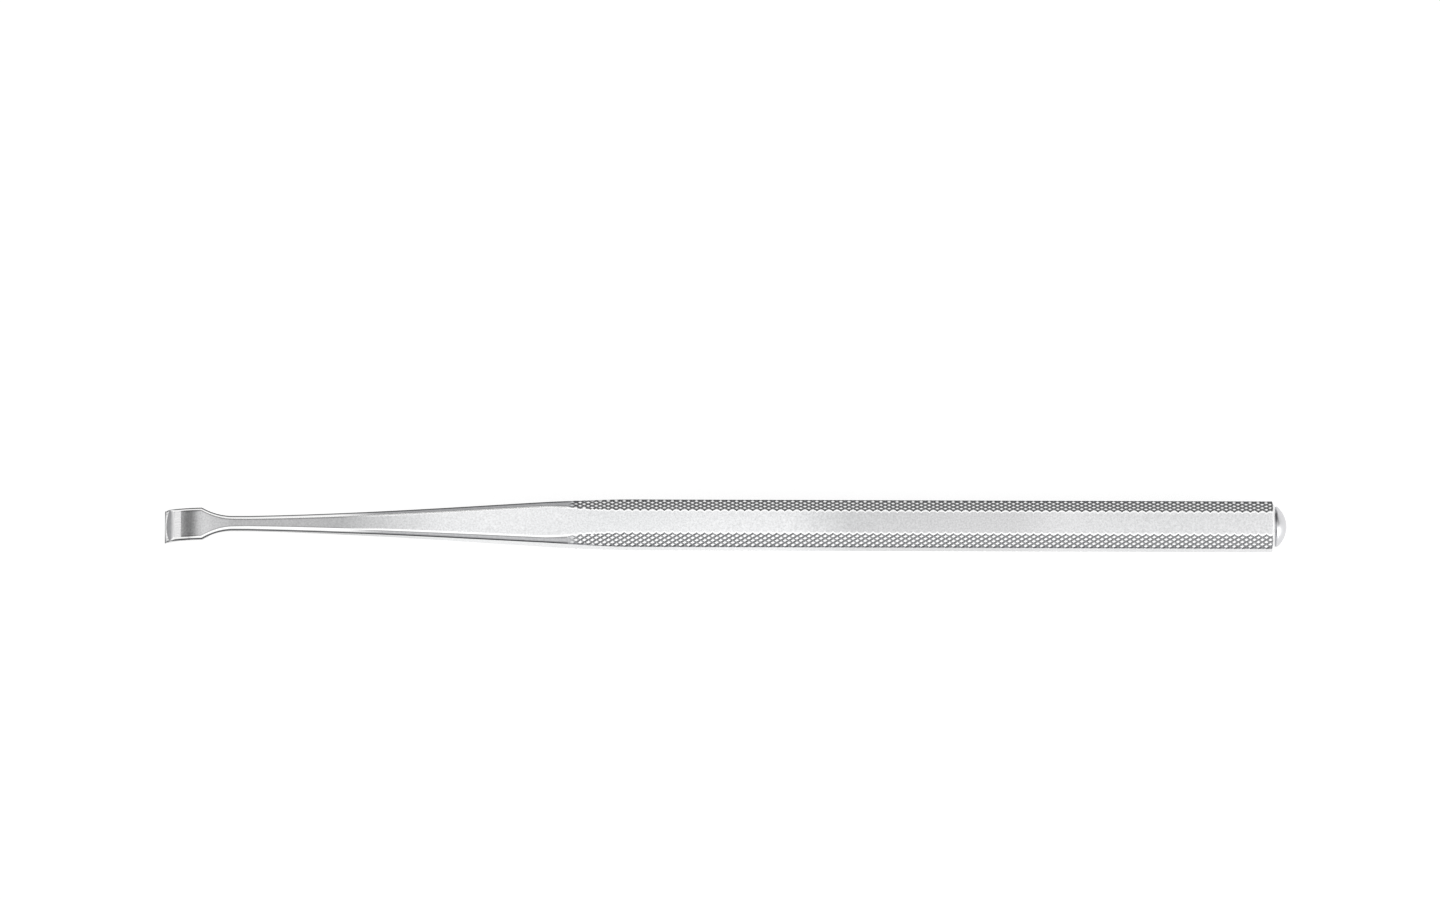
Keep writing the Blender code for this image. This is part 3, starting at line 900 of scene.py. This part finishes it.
# Belt-ground steel: the shank's corner facets come off a belt, dull and dark towards the handle and
# polished bright towards the blade, where a painted highlight adds to the polish. Their borders
# keep a dark line of painted shade.
BELT_MARKS = 0.3 * MM
BELT_ROUGH, POLISHED_ROUGH = 0.34, 0.12
BRIGHTEST_STEEL = "#F4F4F4"
tree, shader, place = steel_material("belt_ground_steel")
marks = add_node(tree, "ShaderNodeTexNoise", Vector=place, Scale=1 / BELT_MARKS, Detail=1.0)
rubbed_and_highlit = add_node(tree, "ShaderNodeAttribute", {"attribute_name": "rubbing_and_painted_highlight"})
line = add_node(tree, "ShaderNodeAttribute", {"attribute_name": "painted_edge_shade"})
dull = add_node(
    tree,
    "ShaderNodeMix",
    {"data_type": "RGBA"},
    i0=marks.outputs["Fac"],
    i6=linear("#A3A4A6"),
    i7=linear("#C4C4C6"),
)
polish_and_highlight = add_node(
    tree,
    "ShaderNodeMix",
    {"data_type": "RGBA"},
    i0=rubbed_and_highlit.outputs["Fac"],
    i6=dull.outputs[2],
    i7=linear(BRIGHTEST_STEEL),
)
colour = add_node(
    tree,
    "ShaderNodeMix",
    {"data_type": "RGBA"},
    i0=line.outputs["Fac"],
    i6=polish_and_highlight.outputs[2],
    i7=linear(DARK_LINE),
)
tree.links.new(colour.outputs[2], shader.inputs["Base Color"])
rough = add_node(
    tree, "ShaderNodeMix", i0=rubbed_and_highlit.outputs["Fac"], i2=BELT_ROUGH, i3=POLISHED_ROUGH
)
tree.links.new(rough.outputs[0], shader.inputs["Roughness"])

# Knurled steel: the same bar, with crests polished by handling, and grooves left dull by the
# knurling wheel and painted darker as shade, where light hardly gets in. A dark line of painted
# shade runs along each facet's outer border.
CREST_TO, GROOVE_FROM = 0.06, 0.45  # groove shares between which the one turns into the other
CREST_ROUGH, GROOVE_ROUGH = 0.14, 0.4
tree, shader, _ = steel_material("knurled_stainless_steel")
groove = add_node(tree, "ShaderNodeAttribute", {"attribute_name": "groove"})
line = add_node(tree, "ShaderNodeAttribute", {"attribute_name": "painted_edge_shade"})
share = add_node(
    tree,
    "ShaderNodeMapRange",
    Value=groove.outputs["Fac"],
    From_Min=CREST_TO,
    From_Max=GROOVE_FROM,
)
# From the crests' polish to the grooves' colour, darkened as painted shade.
crest_wear_and_groove_shade = add_node(
    tree,
    "ShaderNodeMix",
    {"data_type": "RGBA"},
    i0=share.outputs["Result"],
    i6=linear(BRIGHTEST_STEEL),
    i7=linear("#AFB0B2"),
)
colour = add_node(
    tree,
    "ShaderNodeMix",
    {"data_type": "RGBA"},
    i0=line.outputs["Fac"],
    i6=crest_wear_and_groove_shade.outputs[2],
    i7=linear("#8E8F92"),
)
tree.links.new(colour.outputs[2], shader.inputs["Base Color"])
rough = add_node(
    tree, "ShaderNodeMix", i0=share.outputs["Result"], i2=CREST_ROUGH, i3=GROOVE_ROUGH
)
tree.links.new(rough.outputs[0], shader.inputs["Roughness"])

# Wheel-ground steel: the bevel comes off a coarse wheel, a dull grey with a mottle of short marks,
# and a painted highlight brightens it towards the relief facet.
WHEEL_MARKS = 0.25 * MM  # and twice that across the blade
WHEEL_ROUGH = 0.34
tree, shader, place = steel_material("wheel_ground_steel")
stretched = add_node(tree, "ShaderNodeMapping", Vector=place, Scale=(1.0, 0.5, 1.0))
marks = add_node(
    tree,
    "ShaderNodeTexNoise",
    Vector=stretched.outputs["Vector"],
    Scale=1 / WHEEL_MARKS,
    Detail=2.0,
)
rubbed_and_highlit = add_node(tree, "ShaderNodeAttribute", {"attribute_name": "rubbing_and_painted_highlight"})
mottle = add_node(
    tree,
    "ShaderNodeMix",
    {"data_type": "RGBA"},
    i0=marks.outputs["Fac"],
    i6=linear("#6E6F71"),
    i7=linear("#A8A8AA"),
)
colour = add_node(
    tree,
    "ShaderNodeMix",
    {"data_type": "RGBA"},
    i0=rubbed_and_highlit.outputs["Fac"],
    i6=mottle.outputs[2],
    i7=linear("#EAEAEA"),
)
tree.links.new(colour.outputs[2], shader.inputs["Base Color"])
shader.inputs["Roughness"].default_value = WHEEL_ROUGH

# Honed steel: the cutting edge's narrow face and the relief facet are stoned bright, with faint
# parallel lines along the blade, and a dark line of painted shade along the cutting edge.
STONE_LINES = 0.09 * MM  # between the lines
LINE_SQUEEZE = 0.06  # their spacing over their length
LINE_HEIGHT = 0.002 * MM
STONED_SMOOTH, STONED_ROUGH = 0.14, 0.26
tree, shader, place = steel_material("honed_steel")
stretched = add_node(
    tree, "ShaderNodeMapping", Vector=place, Scale=(LINE_SQUEEZE, 1.0, LINE_SQUEEZE)
)
scratches = add_node(
    tree,
    "ShaderNodeTexNoise",
    Vector=stretched.outputs["Vector"],
    Scale=1 / STONE_LINES,
    Detail=2.0,
)
stoned = add_node(
    tree,
    "ShaderNodeMix",
    {"data_type": "RGBA"},
    i0=scratches.outputs["Fac"],
    i6=linear("#C8C8C9"),
    i7=linear(BRIGHTEST_STEEL),
)
line = add_node(tree, "ShaderNodeAttribute", {"attribute_name": "painted_edge_shade"})
colour = add_node(
    tree,
    "ShaderNodeMix",
    {"data_type": "RGBA"},
    i0=line.outputs["Fac"],
    i6=stoned.outputs[2],
    i7=linear(DARK_LINE),
)
tree.links.new(colour.outputs[2], shader.inputs["Base Color"])
rough = add_node(
    tree, "ShaderNodeMix", i0=scratches.outputs["Fac"], i2=STONED_SMOOTH, i3=STONED_ROUGH
)
tree.links.new(rough.outputs[0], shader.inputs["Roughness"])
bump = add_node(
    tree, "ShaderNodeBump", Height=scratches.outputs["Fac"], Strength=0.3, Distance=LINE_HEIGHT
)
tree.links.new(bump.outputs["Normal"], shader.inputs["Normal"])

# Turned steel: the butt comes off the lathe with fine rings round its axis, a little greyer than
# the worn edges. The cone is worn bright as they are, and carries a painted highlight.
RING_SPACING = 0.12 * MM
WAVE_PHASE = 20.0  # radians that the wave texture goes through in a unit, at scale 1
TURNED_SMOOTH, TURNED_ROUGH = 0.3, 0.38
axis_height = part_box("chisel")[1].z - HANDLE_ACROSS / 2
tree, shader, place = steel_material("turned_steel")
centred = add_node(tree, "ShaderNodeMapping", Vector=place, Location=(0.0, 0.0, -axis_height))
turning = add_node(
    tree,
    "ShaderNodeTexWave",
    {"wave_type": "RINGS", "rings_direction": "X"},
    Vector=centred.outputs["Vector"],
    Scale=math.tau / WAVE_PHASE / RING_SPACING,
    Distortion=0.5,
)
rubbed_and_highlit = add_node(tree, "ShaderNodeAttribute", {"attribute_name": "rubbing_and_painted_highlight"})
colour = add_node(
    tree,
    "ShaderNodeMix",
    {"data_type": "RGBA"},
    i0=rubbed_and_highlit.outputs["Fac"],
    i6=linear("#D2D2D4"),
    i7=linear("#F0F0F0"),
)
tree.links.new(colour.outputs[2], shader.inputs["Base Color"])
rough = add_node(
    tree, "ShaderNodeMix", i0=turning.outputs["Fac"], i2=TURNED_SMOOTH, i3=TURNED_ROUGH
)
tree.links.new(rough.outputs[0], shader.inputs["Roughness"])

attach(chisel, "root")
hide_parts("chisel")

# The table is white, and stays white to the camera and in the steel. The tool's soft shadow shows.
FLOOR_SIZE = 4.0
FLOOR_GAP = 0.02 * MM  # under the cutting edge, so that the two don't share a plane
PAINT = 0.4  # what the table gives back of the lamps' light
GLOW = 0.8  # what it adds to the camera and in the steel
bpy.ops.mesh.primitive_plane_add(size=FLOOR_SIZE, location=(0.0, 0.0, -FLOOR_GAP))
floor = bpy.context.object
floor.name = "white_table"
white = bpy.data.materials.new("white_table")
white.use_nodes = True
tree = white.node_tree
tree.nodes.clear()
paths = add_node(tree, "ShaderNodeLightPath")
seen = add_node(
    tree,
    "ShaderNodeMath",
    {"operation": "MAXIMUM"},
    i0=paths.outputs["Is Camera Ray"],
    i1=paths.outputs["Is Glossy Ray"],
)
seen = add_node(
    tree,
    "ShaderNodeMath",
    {"operation": "MAXIMUM"},
    i0=seen.outputs[0],
    i1=paths.outputs["Is Transmission Ray"],
)
strength = add_node(
    tree, "ShaderNodeMath", {"operation": "MULTIPLY"}, i0=seen.outputs[0], i1=GLOW
)
paint = add_node(tree, "ShaderNodeBsdfDiffuse", Color=(PAINT, PAINT, PAINT, 1.0))
glow = add_node(
    tree, "ShaderNodeEmission", Color=(1.0, 1.0, 1.0, 1.0), Strength=strength.outputs[0]
)
both = add_node(tree, "ShaderNodeAddShader", i0=paint.outputs[0], i1=glow.outputs[0])
add_node(tree, "ShaderNodeOutputMaterial", Surface=both.outputs[0])
floor.data.materials.append(white)

# Light: a wide soft box overhead, a low one on the camera's side, and a small one at each end for
# the tip and the button, in a dim grey room, so that the far corner facets stay dark.
ROOM = 0.15
world = bpy.data.worlds.new("dim_room")
world.use_nodes = True
world.node_tree.nodes["Background"].inputs["Color"].default_value = (ROOM, ROOM, ROOM, 1.0)
bpy.context.scene.world = world


def add_lamp(name, place, aim, size, radiance):
    """A rectangular soft box facing a point. Its power is its radiance times pi and its area."""
    data = bpy.data.lights.new(name, "AREA")
    data.shape = "RECTANGLE"
    data.size, data.size_y = size
    data.energy = radiance * math.pi * size[0] * size[1]
    lamp = bpy.data.objects.new(name, data)
    lamp.location = place
    lamp.rotation_euler = (Vector(aim) - Vector(place)).to_track_quat("-Z", "Y").to_euler()
    bpy.context.scene.collection.objects.link(lamp)


add_lamp(
    "overhead_box",
    place=(0.15, -0.08, 0.6),
    aim=(0.15, -0.08, 0.0),
    size=(1.1, 0.6),
    radiance=1.15,
)
add_lamp(
    "near_box",
    place=(0.0, -0.65, 0.25),
    aim=(0.0, 0.0, 0.0),
    size=(1.2, 0.5),
    radiance=1.15,
)
add_lamp(
    "tip_box",
    place=(-0.8, 0.0, 0.25),
    aim=(-0.06, 0.0, 0.0),
    size=(0.6, 0.4),
    radiance=1.0,
)
add_lamp(
    "butt_box",
    place=(0.6, -0.18, 0.08),
    aim=(0.07, 0.0, 0.0),
    size=(0.25, 0.15),
    radiance=12.0,
)

# The camera looks nearly straight down on the tool's back, through a long lens, as in the picture.
PICTURE_WIDTH, PICTURE_HEIGHT = 1440, 900
TOOL_PIXELS = 1122.4  # from the cutting edge to the crown
TOOL_CENTRE = (725.2, 525.3)  # pixels from the picture's left and top
CAMERA_RISE = math.radians(81.4)
CAMERA_ROLL = math.radians(0.15)
LENS = 400.0
CLIP_NEAR, CLIP_FAR = 0.01, 20.0

scale = OVERALL_LENGTH / TOOL_PIXELS
camera_data = bpy.data.cameras.new("camera")
camera_data.lens = LENS
camera_data.clip_start, camera_data.clip_end = CLIP_NEAR, CLIP_FAR
camera = bpy.data.objects.new("camera", camera_data)
bpy.context.scene.collection.objects.link(camera)
back = Vector((0.0, -math.cos(CAMERA_RISE), math.sin(CAMERA_RISE)))
turn = back.to_track_quat("Z", "Y") @ Matrix.Rotation(CAMERA_ROLL, 3, "Z").to_quaternion()
right, up = turn @ Vector((1.0, 0.0, 0.0)), turn @ Vector((0.0, 1.0, 0.0))
middle = (cad_box[0] + cad_box[1]) / 2
aim = middle + scale * (
    (PICTURE_WIDTH / 2 - TOOL_CENTRE[0]) * right + (TOOL_CENTRE[1] - PICTURE_HEIGHT / 2) * up
)
distance = LENS / camera_data.sensor_width * PICTURE_WIDTH * scale
camera.location = aim + back * distance
camera.rotation_euler = turn.to_euler()
bpy.context.scene.camera = camera
bpy.context.scene.view_settings.view_transform = "Standard"
